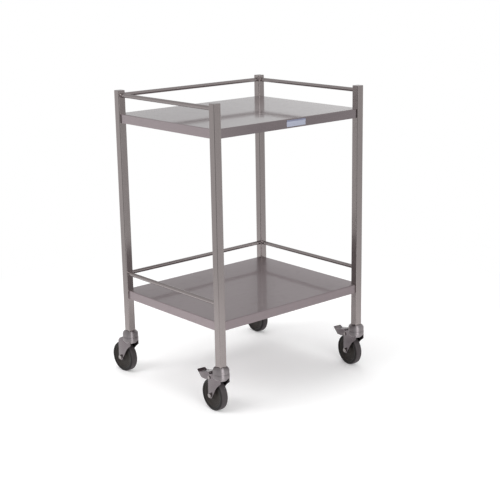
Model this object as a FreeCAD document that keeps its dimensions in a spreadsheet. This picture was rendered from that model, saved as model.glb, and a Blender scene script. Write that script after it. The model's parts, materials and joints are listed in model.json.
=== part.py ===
"""Two-shelf stainless steel instrument trolley on four swivel castors, in millimetres.

X runs along the long side, Y from the open front to the back, Z up from the floor. The origin
is on the floor under the middle of the whole outline: the wheels all trail to the back, so the
posts stand a little forward of it. Each castor is drawn round its own swivel axis with its wheel
trailing along +Y, then turned and placed under its post.
"""

import FreeCAD, Part
import os

import Sketcher
from FreeCAD import Vector

# Driving dimensions: alias, value, and what it measures.
SIZES = [
    ("overall_length", 600.0, "outside the posts along X"),
    ("overall_depth", 490.0, "outside the posts along Y"),
    ("overall_height", 927.0, "floor to the top of the post caps"),
    ("tube_side", 25.0, "outside of the square post tube"),
    ("tube_wall", 1.2, "wall of the post tube"),
    ("tube_corner", 3.0, "outside corner radius of the post tube"),
    ("cap_plate", 2.0, "thickness of the post cap above the tube"),
    ("cap_edge", 1.0, "bevel of the cap's top edge"),
    ("cap_spigot", 12.0, "depth of the cap's plug inside the tube"),
    ("seat_gap", 0.05, "clearance of a pressed or running fit, on one side"),
    ("post_rise", 72.0, "post tops above the top shelf's surface"),
    ("lower_shelf_rise", 140.0, "lower shelf's surface above the posts' lower ends"),
    ("shelf_margin", 5.0, "shelf edge set in from the posts' outer faces"),
    ("shelf_sheet", 1.2, "sheet thickness of the shelves"),
    ("shelf_drop", 28.0, "depth of the shelf's downturned edge"),
    ("shelf_bend", 2.5, "outside radius of the shelf's bend"),
    ("shelf_hem", 12.0, "width of the hem turned in under the edge"),
    ("channel_sheet", 1.2, "sheet thickness of the stiffening channel"),
    ("channel_width", 40.0, "width of the stiffening channel"),
    ("channel_depth", 18.0, "depth of the stiffening channel"),
    ("channel_lip", 14.0, "width of the channel's spot-welded lips"),
    ("rail_diameter", 12.7, "outside of the guard rail tube"),
    ("rail_wall", 1.0, "wall of the guard rail tube"),
    ("top_rail_rise", 57.0, "top shelf's surface to the centre of its rail"),
    ("lower_rail_rise", 54.0, "lower shelf's surface to the centre of its rail"),
    ("socket_length", 45.0, "length of the plug that holds the castor stem"),
    ("stem_diameter", 12.0, "castor stem inside the post"),
    ("stem_reach", 40.0, "length of the stem above the castor head"),
    ("stem_tip", 1.5, "bevel on the stem's upper end"),
    ("king_diameter", 10.0, "pin that the fork turns on"),
    ("king_head", 18.0, "diameter of the pin's riveted head"),
    ("king_head_depth", 5.0, "thickness of the pin's riveted head"),
    ("head_diameter", 50.0, "castor head at its rim"),
    ("head_depth", 20.0, "top of the fork to the lower end of the post"),
    ("head_top", 33.0, "castor head where it meets the post"),
    ("head_rim", 7.5, "height of the head's upright rim"),
    ("head_wall", 2.5, "wall of the head round its ball race"),
    ("head_round", 8.0, "rounding of the head's shoulder, as three bevels"),
    ("head_gap", 0.6, "running gap between head and fork"),
    ("bearing_thickness", 5.0, "ring of caged balls that carries the swivel"),
    ("race_diameter", 34.0, "circle through the balls' centres"),
    ("race_groove", 0.9, "depth of the two race grooves"),
    ("race_play", 0.1, "play of the ring between its two races"),
    ("crown_clearance", 25.0, "top of the tyre to the top of the fork"),
    ("crown_diameter", 51.0, "outside of the fork's round crown"),
    ("crown_edge", 3.5, "rounding of the crown's top edge, as three bevels"),
    ("crown_skirt", 12.0, "height of the crown's upright wall with its edge"),
    ("crown_taper", 9.0, "height of the tapered wall below it"),
    ("crown_foot", 34.0, "outside of the tapered wall at its lower end"),
    ("fork_sheet", 2.5, "sheet thickness of the fork"),
    ("fork_gap", 31.0, "space between the fork's legs"),
    ("trail", 32.5, "swivel axis to wheel axle"),
    ("leg_front", 18.0, "front edge of the legs ahead of the swivel axis"),
    ("leg_corner_drop", 27.0, "lower end of that upright edge below the crown's top"),
    ("leg_waist_reach", 0.5, "kink of the leg's front edge behind the swivel axis"),
    ("leg_waist_drop", 41.0, "that kink below the crown's top"),
    ("leg_waist_round", 35.0, "radius that smooths the kink"),
    ("leg_foot", 10.0, "radius of the leg's round foot about the axle"),
    ("leg_foot_angle", 27.0, "where the front edge meets the foot, degrees below level"),
    ("web_reach", 33.0, "end of the web between the legs behind the swivel axis"),
    ("web_drop", 4.0, "web's top below the crown's top"),
    ("web_flat", 24.0, "length of the web's level part"),
    ("shoulder_reach", 37.0, "top of the legs' rear corner behind the swivel axis"),
    ("shoulder_drop", 10.0, "that corner below the crown's top"),
    ("shoulder_fall", 18.0, "rear corner's lower end below the crown's top"),
    ("wheel_diameter", 100.0, "outside of the tyre"),
    ("tread_width", 25.0, "width of the tyre"),
    ("tread_round", 5.0, "rounding of the tyre's shoulders, as three bevels"),
    ("tyre_depth", 11.0, "tread to the wheel centre's rim"),
    ("rim_inset", 1.2, "wheel centre's rim set in from the tyre's side"),
    ("rim_thickness", 5.0, "thickness of the wheel centre's rim"),
    ("rim_key", 1.5, "height of the ring that keys the tyre"),
    ("rim_key_width", 7.0, "width of that ring"),
    ("web_thickness", 13.0, "thickness of the wheel centre's disc"),
    ("hub_diameter", 26.0, "wheel hub"),
    ("hub_length", 28.0, "length of the wheel hub"),
    ("hub_draft", 1.5, "slope of the hub and rim towards the disc"),
    ("sleeve_diameter", 12.0, "axle sleeve that the wheel turns on"),
    ("axle_diameter", 8.0, "axle bolt"),
    ("hex_flats", 13.0, "across the flats of the axle bolt's head and nut"),
    ("bolt_head_depth", 5.3, "axle bolt's head"),
    ("nut_depth", 6.5, "axle nut"),
    ("thread_reach", 2.0, "bolt's end beyond its nut"),
    ("hex_round", 0.9, "turned corner of the head and nut"),
    ("pedal_width", 30.0, "width of the brake pedal"),
    ("pedal_sheet", 1.5, "sheet thickness of the brake pedal"),
    ("pedal_pivot_reach", 36.0, "brake pin behind the swivel axis"),
    ("pedal_pivot_drop", 19.0, "brake pin below the crown's top"),
    ("pedal_ear", 5.5, "radius of the pedal's ears round the pin"),
    ("pedal_root_reach", 44.0, "pedal's highest point behind the swivel axis"),
    ("pedal_root_drop", 4.0, "that point below the crown's top"),
    ("pedal_knee_reach", 60.0, "bend of the pedal's plate"),
    ("pedal_knee_drop", 8.5, "that bend below the crown's top"),
    ("pedal_dip_reach", 90.0, "lowest point of the pedal's plate"),
    ("pedal_dip_drop", 16.5, "that point below the crown's top"),
    ("pedal_tip_reach", 102.0, "end of the pedal's turned-up lip"),
    ("pedal_tip_drop", 11.5, "the lip below the crown's top"),
    ("pedal_tip_round", 3.5, "corner radius of the lip in plan"),
    ("skirt_drop", 32.0, "lower edge of the pedal's side skirts below the crown's top"),
    ("skirt_front", 59.0, "front end of that lower edge"),
    ("skirt_rear", 80.0, "rear end of that lower edge"),
    ("brake_pin_diameter", 6.0, "brake pin"),
    ("pin_head_diameter", 10.0, "riveted heads of the brake pin"),
    ("pin_head_depth", 2.0, "thickness of those heads"),
    ("brake_travel", 12.0, "degrees that the pedal turns down to its stop"),
    ("shoe_width", 22.0, "width of the brake shoe"),
    ("shoe_front", 46.0, "front face of the shoe behind the swivel axis"),
    ("shoe_gap", 0.3, "shoe to tyre with the pedal down"),
    ("swivel_front_left", 2.0, "turn of this castor at rest, degrees clockwise from above"),
    ("swivel_front_right", 7.0, "turn of this castor at rest"),
    ("swivel_back_left", -4.0, "turn of this castor at rest"),
    ("swivel_back_right", 2.0, "turn of this castor at rest"),
]

# Heights from the floor that follow from the sizes, each from those before it.
LEVELS = {
    "crown_level": "({wheel_diameter} + {crown_clearance})",
    "castor_height": "({crown_level} + {head_depth})",
    "top_shelf_level": "({overall_height} - {post_rise})",
    "lower_shelf_level": "({castor_height} + {lower_shelf_rise})",
    "leg_corner_level": "({crown_level} - {leg_corner_drop})",
    "leg_waist_level": "({crown_level} - {leg_waist_drop})",
    "pedal_pivot_level": "({crown_level} - {pedal_pivot_drop})",
    "pedal_root_level": "({crown_level} - {pedal_root_drop})",
    "pedal_knee_level": "({crown_level} - {pedal_knee_drop})",
    "pedal_dip_level": "({crown_level} - {pedal_dip_drop})",
    "pedal_tip_level": "({crown_level} - {pedal_tip_drop})",
    "skirt_level": "({crown_level} - {skirt_drop})",
}

# Corners of the trolley: name, side along X, side along Y, and whether its castor has a brake.
CORNERS = [
    ("front_left", -1, -1, True),
    ("front_right", 1, -1, True),
    ("back_left", -1, 1, False),
    ("back_right", 1, 1, False),
]

os.makedirs("parts", exist_ok=True)
doc = FreeCAD.newDocument("trolley")
sheet = doc.addObject("Spreadsheet::Sheet", "sizes")
for row, (alias, value, meaning) in enumerate(SIZES, start=1):
    sheet.set(f"A{row}", alias)
    sheet.set(f"B{row}", str(value))
    sheet.setAlias(f"B{row}", alias)
    sheet.set(f"C{row}", meaning)
doc.recompute()

sub_parts = []


def expand(expression):
    """Turn names in braces, such as {tube_side}, into references to the sheet."""
    for name, meaning in reversed(LEVELS.items()):
        expression = expression.replace("{" + name + "}", meaning)
    return expression.replace("{", "sizes.").replace("}", "")


def new_body(label):
    """A body for one sub-part, whose label names its file."""
    body = doc.addObject("PartDesign::Body", label)
    body.Label = label
    body.AllowCompound = True
    sub_parts.append(body)
    return body


def place(body, x="0", y="0", z="0", turn="0", tip="0"):
    """Bind the body's place from the middle of the posts, and its turns about Z and Y in degrees."""
    set_forward = "({trail} + {wheel_diameter} / 2 - {crown_diameter} / 2) / 2"
    where = f"vector({expand(x)}; {expand(y)} - {expand(set_forward)}; {expand(z)})"
    body.setExpression("Placement", f"placement({where}; rotation({expand(turn)}; {expand(tip)}; 0))")


def new_sketch(body, name, plane, offset="0"):
    """A sketch on one of the body's own origin planes, raised along the plane's normal."""
    sketch = body.newObject("Sketcher::SketchObject", name)
    support = [item for item in body.Origin.OriginFeatures if item.Role == plane][0]
    sketch.AttachmentSupport = [(support, "")]
    sketch.MapMode = "FlatFace"
    if offset != "0":
        sketch.setExpression("AttachmentOffset.Base.z", expand(offset))
    return sketch


def measure(sketch, expression):
    """The present value of an expression on the sheet."""
    return float(sketch.evalExpression(expand(expression)))


def pin_point(sketch, geometry, end, x, y):
    """Dimension one point of the sketch from its origin."""
    for kind, expression in (("DistanceX", x), ("DistanceY", y)):
        value = measure(sketch, expression)
        index = sketch.addConstraint(Sketcher.Constraint(kind, -1, 1, geometry, end, value))
        sketch.setExpression(f"Constraints[{index}]", expand(expression))


def outline(sketch, points):
    """A closed outline of straight lines through points given as pairs of expressions."""
    first = sketch.GeometryCount
    corners = [Vector(measure(sketch, x), measure(sketch, y), 0) for x, y in points]
    count = len(points)
    for index in range(count):
        line = Part.LineSegment(corners[index], corners[(index + 1) % count])
        sketch.addGeometry(line, False)
    for index in range(count):
        joined = Sketcher.Constraint("Coincident", first + index, 2, first + (index + 1) % count, 1)
        sketch.addConstraint(joined)
    for index, (x, y) in enumerate(points):
        pin_point(sketch, first + index, 1, x, y)


def rectangle(sketch, left, bottom, right, top):
    """A closed rectangle between two opposite corners."""
    outline(sketch, [(left, bottom), (right, bottom), (right, top), (left, top)])


def circle(sketch, diameter, x="0", y="0"):
    """A circle of the given diameter about a dimensioned centre."""
    radius = measure(sketch, f"({diameter}) / 2")
    centre = Vector(measure(sketch, x), measure(sketch, y), 0)
    ring = sketch.addGeometry(Part.Circle(centre, Vector(0, 0, 1), radius), False)
    index = sketch.addConstraint(Sketcher.Constraint("Radius", ring, radius))
    sketch.setExpression(f"Constraints[{index}]", expand(f"({diameter}) / 2"))
    pin_point(sketch, ring, 3, x, y)


def bevels(x, y, radius, start):
    """Points of a quarter round about a centre, as three straight bevels from a starting angle."""
    turns = [f"({start} + {step} * 30) * 1 deg" for step in range(4)]
    return [(f"({x}) + {radius} * cos({turn})", f"({y}) + {radius} * sin({turn})") for turn in turns]


def hexagon(sketch, flats):
    """A regular hexagon about the origin, from its width across the flats."""
    corner = f"({flats}) / sqrt(3)"
    half = f"({flats}) / 2"
    points = [(corner, "0"), (f"({corner}) / 2", half), (f"-({corner}) / 2", half)]
    points += [(f"-({corner})", "0"), (f"-({corner}) / 2", f"-({half})")]
    points += [(f"({corner}) / 2", f"-({half})")]
    outline(sketch, points)


def pad(body, sketch, length, both_ways=False, backwards=False):
    """Extrude a sketch; the length is the whole one when it goes both ways."""
    feature = body.newObject("PartDesign::Pad", sketch.Name + "_pad")
    feature.Profile = sketch
    feature.setExpression("Length", expand(length))
    feature.SideType = "Symmetric" if both_ways else "One side"
    feature.Reversed = backwards
    return feature


def pocket(body, sketch, depth, both_ways=False, backwards=False):
    """Cut a sketch out of the body and check that it took something away."""
    doc.recompute()
    before = body.Shape.Volume
    feature = body.newObject("PartDesign::Pocket", sketch.Name + "_pocket")
    feature.Profile = sketch
    feature.setExpression("Length", expand(depth))
    feature.SideType = "Symmetric" if both_ways else "One side"
    feature.Reversed = backwards
    doc.recompute()
    if body.Shape.Volume >= before:
        raise ValueError(f"{feature.Name} cuts nothing")
    return feature


def revolve(body, sketch, cut=False):
    """Turn a sketch right round its own vertical axis, to add or to cut."""
    kind, suffix = ("Groove", "_groove") if cut else ("Revolution", "_turned")
    if cut:
        doc.recompute()
        before = body.Shape.Volume
    feature = body.newObject(f"PartDesign::{kind}", sketch.Name + suffix)
    feature.Profile = sketch
    feature.ReferenceAxis = (sketch, ["V_Axis"])
    feature.Angle = 360
    if cut:
        doc.recompute()
        if body.Shape.Volume >= before:
            raise ValueError(f"{feature.Name} cuts nothing")
    return feature


def edges_where(feature, wanted):
    """Names of the feature's edges whose end points and middle all pass a test."""
    doc.recompute()
    names = []
    for number, edge in enumerate(feature.Shape.Edges, start=1):
        middle = edge.valueAt((edge.FirstParameter + edge.LastParameter) / 2)
        points = [vertex.Point for vertex in edge.Vertexes] + [middle]
        if all(wanted(point) for point in points):
            names.append(f"Edge{number}")
    if not names:
        raise ValueError(f"no edge to round on {feature.Name}")
    return names


def round_edges(body, feature, name, radius, wanted):
    """Fillet the edges of the body's last feature that pass a test."""
    names = edges_where(feature, wanted)
    fillet = body.newObject("PartDesign::Fillet", name)
    fillet.Base = (feature, names)
    fillet.setExpression("Radius", expand(radius))
    return fillet


def bevel_edges(body, feature, name, size, wanted):
    """Chamfer the edges of the body's last feature that pass a test."""
    names = edges_where(feature, wanted)
    chamfer = body.newObject("PartDesign::Chamfer", name)
    chamfer.Base = (feature, names)
    chamfer.setExpression("Size", expand(size))
    return chamfer


def size(alias):
    """The present value of one driving dimension."""
    return float(getattr(sheet, alias))


def close(a, b):
    """Whether two lengths agree."""
    return abs(a - b) < 1e-4


def post_x(side):
    """Centre line of a post along X."""
    return f"{side} * ({{overall_length}} - {{tube_side}}) / 2"


def post_y(side):
    """Centre line of a post along Y."""
    return f"{side} * ({{overall_depth}} - {{tube_side}}) / 2"


def square_tube(body, name, side, corner, base, height):
    """A square bar with rounded upright corners, standing on a level."""
    sketch = new_sketch(body, name, "XY_Plane", base)
    rectangle(sketch, f"-({side}) / 2", f"-({side}) / 2", f"({side}) / 2", f"({side}) / 2")
    bar = pad(body, sketch, height)
    half = measure(sketch, f"({side}) / 2")
    return round_edges(
        body, bar, name + "_corners", corner,
        lambda p: close(abs(p.x), half) and close(abs(p.y), half),
    )


def make_post(corner, side_x, side_y):
    """One post: square tube from the castor to just under its cap."""
    body = new_body(f"post_{corner}")
    height = "{overall_height} - {cap_plate} - {castor_height}"
    square_tube(body, f"tube_{corner}", "{tube_side}", "{tube_corner}", "{castor_height}", height)
    bore = new_sketch(body, f"bore_{corner}", "XY_Plane", "{castor_height}")
    half = "({tube_side} / 2 - {tube_wall})"
    rectangle(bore, f"-{half}", f"-{half}", half, half)
    hollow = pocket(body, bore, height, backwards=True)
    inner = size("tube_side") / 2 - size("tube_wall")
    round_edges(
        body, hollow, f"bore_corners_{corner}", "{tube_corner} - {tube_wall}",
        lambda p: close(abs(p.x), inner) and close(abs(p.y), inner),
    )
    place(body, post_x(side_x), post_y(side_y))


def combined(label, pieces):
    """Gather identical pieces, made by a loop, as the separate solids of one sub-part."""
    group = doc.addObject("Part::Compound", label)
    group.Label = label
    group.Links = pieces
    sub_parts.append(group)


def make_cap(corner, side_x, side_y):
    """One post cap: a plate on the tube's end and a plug inside it."""
    body = new_body(f"cap_{corner}")
    sub_parts.remove(body)
    plug = "({tube_side} - 2 * {tube_wall} - 2 * {seat_gap})"
    top = "{overall_height} - {cap_plate}"
    plug_corner = "{tube_corner} - {tube_wall}"
    square_tube(body, f"plug_{corner}", plug, plug_corner, f"{top} - {{cap_spigot}}", "{cap_spigot}")
    plate = new_sketch(body, f"plate_{corner}", "XY_Plane", top)
    half = "({tube_side} / 2)"
    rectangle(plate, f"-{half}", f"-{half}", half, half)
    lid = pad(body, plate, "{cap_plate}")
    edge = size("tube_side") / 2
    upright = round_edges(
        body, lid, f"plate_corners_{corner}", "{tube_corner}",
        lambda p: close(abs(p.x), edge) and close(abs(p.y), edge),
    )
    level = size("overall_height")
    bevel_edges(
        body, upright, f"plate_edge_{corner}", "{cap_edge}", lambda p: close(p.z, level)
    )
    place(body, post_x(side_x), post_y(side_y))
    return body


def make_socket(corner, side_x, side_y):
    """The plug in a post's lower end that the castor's stem is driven into."""
    body = new_body(f"socket_{corner}")
    sub_parts.remove(body)
    side = "({tube_side} - 2 * {tube_wall} - 2 * {seat_gap})"
    square_tube(
        body, f"block_{corner}", side, "{tube_corner} - {tube_wall}", "{castor_height}", "{socket_length}"
    )
    hole = new_sketch(body, f"stem_hole_{corner}", "XY_Plane", "{castor_height}")
    circle(hole, "{stem_diameter} + 2 * {seat_gap}")
    pocket(body, hole, "{socket_length}", backwards=True)
    place(body, post_x(side_x), post_y(side_y))
    return body


def make_shelf(label, level):
    """A pressed shelf: notched sheet, downturned edges and hems turned in beneath them."""
    body = new_body(label)
    far_x = "({overall_length} / 2 - {shelf_margin})"
    far_y = "({overall_depth} / 2 - {shelf_margin})"
    post_in_x = "({overall_length} / 2 - {tube_side})"
    post_in_y = "({overall_depth} / 2 - {tube_side})"
    plan = new_sketch(body, label + "_plan", "XY_Plane", level)
    outline(plan, [
        (f"-{post_in_x}", f"-{far_y}"), (post_in_x, f"-{far_y}"), (post_in_x, f"-{post_in_y}"),
        (far_x, f"-{post_in_y}"), (far_x, post_in_y), (post_in_x, post_in_y),
        (post_in_x, far_y), (f"-{post_in_x}", far_y), (f"-{post_in_x}", post_in_y),
        (f"-{far_x}", post_in_y), (f"-{far_x}", f"-{post_in_y}"), (f"-{post_in_x}", f"-{post_in_y}"),
    ])
    block = pad(body, plan, "{shelf_drop}", backwards=True)
    top = measure(plan, level)
    edge_x, edge_y = measure(plan, far_x), measure(plan, far_y)
    bent = round_edges(
        body, block, label + "_bend", "{shelf_bend}",
        lambda p: close(p.z, top) and (close(abs(p.x), edge_x) or close(abs(p.y), edge_y)),
    )
    hollow = new_sketch(body, label + "_hollow", "XY_Plane", f"{level} - {{shelf_drop}}")
    in_x, in_y = f"({far_x} - {{shelf_sheet}})", f"({far_y} - {{shelf_sheet}})"
    rectangle(hollow, f"-{in_x}", f"-{in_y}", in_x, in_y)
    inside = pocket(body, hollow, "{shelf_drop} - {shelf_sheet}", backwards=True)
    under = top - size("shelf_sheet")
    wall_x, wall_y = measure(plan, in_x), measure(plan, in_y)
    round_edges(
        body, inside, label + "_inner_bend", "{shelf_bend} - {shelf_sheet}",
        lambda p: close(p.z, under) and (close(abs(p.x), wall_x) or close(abs(p.y), wall_y)),
    )
    hems = new_sketch(body, label + "_hems", "XY_Plane", f"{level} - {{shelf_drop}}")
    hem_x, hem_y = f"({far_x} - {{shelf_hem}})", f"({far_y} - {{shelf_hem}})"
    rectangle(hems, f"-{post_in_x}", f"-{far_y}", post_in_x, f"-{hem_y}")
    rectangle(hems, f"-{post_in_x}", hem_y, post_in_x, far_y)
    rectangle(hems, f"-{far_x}", f"-{post_in_y}", f"-{hem_x}", post_in_y)
    rectangle(hems, hem_x, f"-{post_in_y}", far_x, post_in_y)
    pad(body, hems, "{shelf_sheet}")
    place(body)
    return in_x


def make_channel(label, level, half_length):
    """The hat-section channel spot-welded lengthways under a shelf."""
    body = new_body(label)
    section = new_sketch(body, label + "_section", "YZ_Plane")
    top = f"({level} - {{shelf_sheet}})"
    bottom = f"({top} - {{channel_depth}})"
    lip, half = "({channel_width} / 2 + {channel_lip})", "({channel_width} / 2)"
    gauge = "{channel_sheet}"
    outline(section, [
        (f"-{lip}", top), (f"-{half} + {gauge}", top), (f"-{half} + {gauge}", f"{bottom} + {gauge}"),
        (f"{half} - {gauge}", f"{bottom} + {gauge}"), (f"{half} - {gauge}", top), (lip, top),
        (lip, f"{top} - {gauge}"), (half, f"{top} - {gauge}"), (half, bottom),
        (f"-{half}", bottom), (f"-{half}", f"{top} - {gauge}"), (f"-{lip}", f"{top} - {gauge}"),
    ])
    pad(body, section, f"2 * {half_length} - 2 * {{shelf_bend}}", both_ways=True)
    place(body)


def make_rail(label, level, along, side):
    """A straight guard rail of round tube between two posts, at the back or at one end."""
    body = new_body(label)
    section = new_sketch(body, label + "_section", "YZ_Plane" if along == "x" else "XZ_Plane")
    circle(section, "{rail_diameter}")
    circle(section, "{rail_diameter} - 2 * {rail_wall}")
    span = "{overall_length}" if along == "x" else "{overall_depth}"
    pad(body, section, f"{span} - 2 * {{tube_side}}", both_ways=True)
    x, y = ("0", post_y(side)) if along == "x" else (post_x(side), "0")
    place(body, x, y, level)


def castor_place(body, corner, side_x, side_y):
    """Put a piece drawn round the swivel axis under its post, turned with its castor."""
    place(body, post_x(side_x), post_y(side_y), turn=f"-{{swivel_{corner}}}")


def axle_place(body, corner, side_x, side_y):
    """Put a piece drawn round its own Z axis on the castor's axle, Z pointing across."""
    swing = f"{{swivel_{corner}}} * 1 deg"
    x = f"{post_x(side_x)} + {{trail}} * sin({swing})"
    y = f"{post_y(side_y)} + {{trail}} * cos({swing})"
    place(body, x, y, "{wheel_diameter} / 2", turn=f"-{{swivel_{corner}}}", tip="90")


def make_stem(corner, side_x, side_y):
    """The castor's stem, with the pin that the fork turns on and its riveted head."""
    body = new_body(f"castor_stem_{corner}")
    section = new_sketch(body, f"stem_{corner}", "XZ_Plane")
    rivet_top = "({crown_level} - {fork_sheet} - {head_gap} / 2)"
    rivet_foot = f"({rivet_top} - {{king_head_depth}})"
    stem_top = "({castor_height} + {stem_reach})"
    outline(section, [
        ("0", rivet_foot), ("{king_head} / 2", rivet_foot), ("{king_head} / 2", rivet_top),
        ("{king_diameter} / 2", rivet_top), ("{king_diameter} / 2", "{castor_height}"),
        ("{stem_diameter} / 2", "{castor_height}"),
        ("{stem_diameter} / 2", f"{stem_top} - {{stem_tip}}"),
        ("{stem_diameter} / 2 - {stem_tip}", stem_top), ("0", stem_top),
    ])
    revolve(body, section)
    castor_place(body, corner, side_x, side_y)


def race_levels():
    """Heights of the bearing ring's middle and of the head's ceiling over it."""
    centre = "({crown_level} - {race_groove} + {race_play} + {bearing_thickness} / 2)"
    ceiling = f"({centre} + {{bearing_thickness}} / 2 + {{race_play}} - {{race_groove}})"
    return centre, ceiling


def make_head(corner, side_x, side_y):
    """The fixed domed head under the post, with the upper race inside its rim."""
    body = new_body(f"castor_head_{corner}")
    section = new_sketch(body, f"head_{corner}", "XZ_Plane")
    ceiling = race_levels()[1]
    rim_foot = "({crown_level} + {head_gap})"
    rim_top = f"({rim_foot} + {{head_rim}})"
    outer, inner = "{head_diameter} / 2", "({head_diameter} / 2 - {head_wall})"
    bore = "({king_diameter} / 2 + {seat_gap})"
    middle, flare = "{race_diameter} / 2", "{bearing_thickness} / 4"
    outline(section, [
        (bore, ceiling), (f"{middle} - {flare} - {{race_groove}}", ceiling),
        (f"{middle} - {flare}", f"{ceiling} + {{race_groove}}"),
        (f"{middle} + {flare}", f"{ceiling} + {{race_groove}}"),
        (f"{middle} + {flare} + {{race_groove}}", ceiling),
        (inner, ceiling), (inner, rim_foot), (outer, rim_foot),
        *bevels(f"{outer} - {{head_round}}", rim_top, "{head_round}", 0)[:3],
        ("{head_top} / 2", "{castor_height}"), (bore, "{castor_height}"),
    ])
    revolve(body, section)
    castor_place(body, corner, side_x, side_y)


def make_bearing(corner, side_x, side_y):
    """The ring of caged balls between head and fork, turned as one ring of eight-sided section."""
    body = new_body(f"castor_bearing_{corner}")
    section = new_sketch(body, f"bearing_{corner}", "XZ_Plane")
    around = [f"({turn} * 45 + 22.5) * 1 deg" for turn in range(8)]
    reach = "({bearing_thickness} / 2 / cos(22.5 deg))"
    centre = race_levels()[0]
    outline(section, [
        (f"{{race_diameter}} / 2 + {reach} * cos({turn})", f"{centre} + {reach} * sin({turn})")
        for turn in around
    ])
    revolve(body, section)
    castor_place(body, corner, side_x, side_y)


def make_fork(corner, side_x, side_y, braked):
    """The pressed fork: round crown with the lower race, tapered skirt, web and two legs."""
    body = new_body(f"castor_fork_{corner}")
    axle_level = "{wheel_diameter} / 2"
    rear = "({trail} + {leg_foot})"
    web_top = "({crown_level} - {web_drop})"
    under_crown = "({crown_level} - {fork_sheet})"
    skirt_foot = "({crown_level} - {crown_skirt})"
    taper_foot = f"({skirt_foot} - {{crown_taper}})"
    outer_width = "({fork_gap} + 2 * {fork_sheet})"
    foot_angle = "{leg_foot_angle} * 1 deg"

    legs = new_sketch(body, f"legs_{corner}", "YZ_Plane")
    outline(legs, [
        ("-{leg_front}", "{leg_corner_level}"), ("-{leg_front}", web_top),
        ("{web_flat}", web_top), ("{shoulder_reach}", "{crown_level} - {shoulder_drop}"),
        (rear, "{crown_level} - {shoulder_fall}"), (rear, axle_level), ("{trail}", axle_level),
        (f"{{trail}} - {{leg_foot}} * cos({foot_angle})",
         f"{axle_level} - {{leg_foot}} * sin({foot_angle})"),
        ("{leg_waist_reach}", "{leg_waist_level}"),
    ])
    slab = pad(body, legs, outer_width, both_ways=True)
    waist_y, waist_z = size("leg_waist_reach"), measure(legs, "{leg_waist_level}")
    round_edges(
        body, slab, f"waist_{corner}", "{leg_waist_round}",
        lambda p: close(p.y, waist_y) and close(p.z, waist_z),
    )
    feet = new_sketch(body, f"feet_{corner}", "YZ_Plane")
    circle(feet, "2 * {leg_foot}", "{trail}", axle_level)
    pad(body, feet, outer_width, both_ways=True)

    crown = new_sketch(body, f"crown_{corner}", "XZ_Plane")
    outline(crown, [
        ("0", taper_foot), ("{crown_foot} / 2", taper_foot), ("{crown_diameter} / 2", skirt_foot),
        *bevels("{crown_diameter} / 2 - {crown_edge}", "{crown_level} - {crown_edge}", "{crown_edge}", 0),
        ("0", "{crown_level}"),
    ])
    revolve(body, crown)

    slot = new_sketch(body, f"slot_{corner}", "YZ_Plane")
    clear = "2 * {wheel_diameter}"
    slot_front = "-{crown_foot} / 4"
    web_under = f"({web_top} - {{fork_sheet}})"
    outline(slot, [
        (f"-{clear}", "0"), (f"-{clear}", taper_foot), (slot_front, taper_foot),
        (slot_front, web_under), ("{web_flat}", web_under),
        ("{web_reach}", f"{web_under} - ({{web_reach}} - {{web_flat}})"
                        " * ({shoulder_drop} - {web_drop}) / ({shoulder_reach} - {web_flat})"),
        ("{web_reach}", "{crown_level} + {crown_skirt}"), (clear, "{crown_level} + {crown_skirt}"),
        (clear, "0"),
    ])
    pocket(body, slot, "{fork_gap}", both_ways=True)

    inside = new_sketch(body, f"inside_{corner}", "XZ_Plane")
    wall = "{fork_sheet}"
    outline(inside, [
        ("0", taper_foot), (f"{{crown_foot}} / 2 - {wall}", taper_foot),
        (f"{{crown_diameter}} / 2 - {wall}", skirt_foot),
        (f"{{crown_diameter}} / 2 - {wall}", under_crown), ("0", under_crown),
    ])
    revolve(body, inside, cut=True)

    race = new_sketch(body, f"race_{corner}", "XZ_Plane")
    middle, flare = "{race_diameter} / 2", "{bearing_thickness} / 4"
    outline(race, [
        (f"{middle} - {flare} - {{race_groove}}", "{crown_level}"),
        (f"{middle} - {flare}", "{crown_level} - {race_groove}"),
        (f"{middle} + {flare}", "{crown_level} - {race_groove}"),
        (f"{middle} + {flare} + {{race_groove}}", "{crown_level}"),
    ])
    revolve(body, race, cut=True)

    king_hole = new_sketch(body, f"king_hole_{corner}", "XY_Plane", "{crown_level}")
    circle(king_hole, "{king_diameter} + 2 * {seat_gap}")
    pocket(body, king_hole, "{crown_skirt}")

    axle_holes = new_sketch(body, f"axle_holes_{corner}", "YZ_Plane")
    circle(axle_holes, "{axle_diameter} + 2 * {seat_gap}", "{trail}", axle_level)
    if braked:
        circle(
            axle_holes, "{brake_pin_diameter} + 2 * {seat_gap}",
            "{pedal_pivot_reach}", "{pedal_pivot_level}",
        )
    pocket(body, axle_holes, f"{outer_width} + {{fork_sheet}}", both_ways=True)
    castor_place(body, corner, side_x, side_y)


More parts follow.
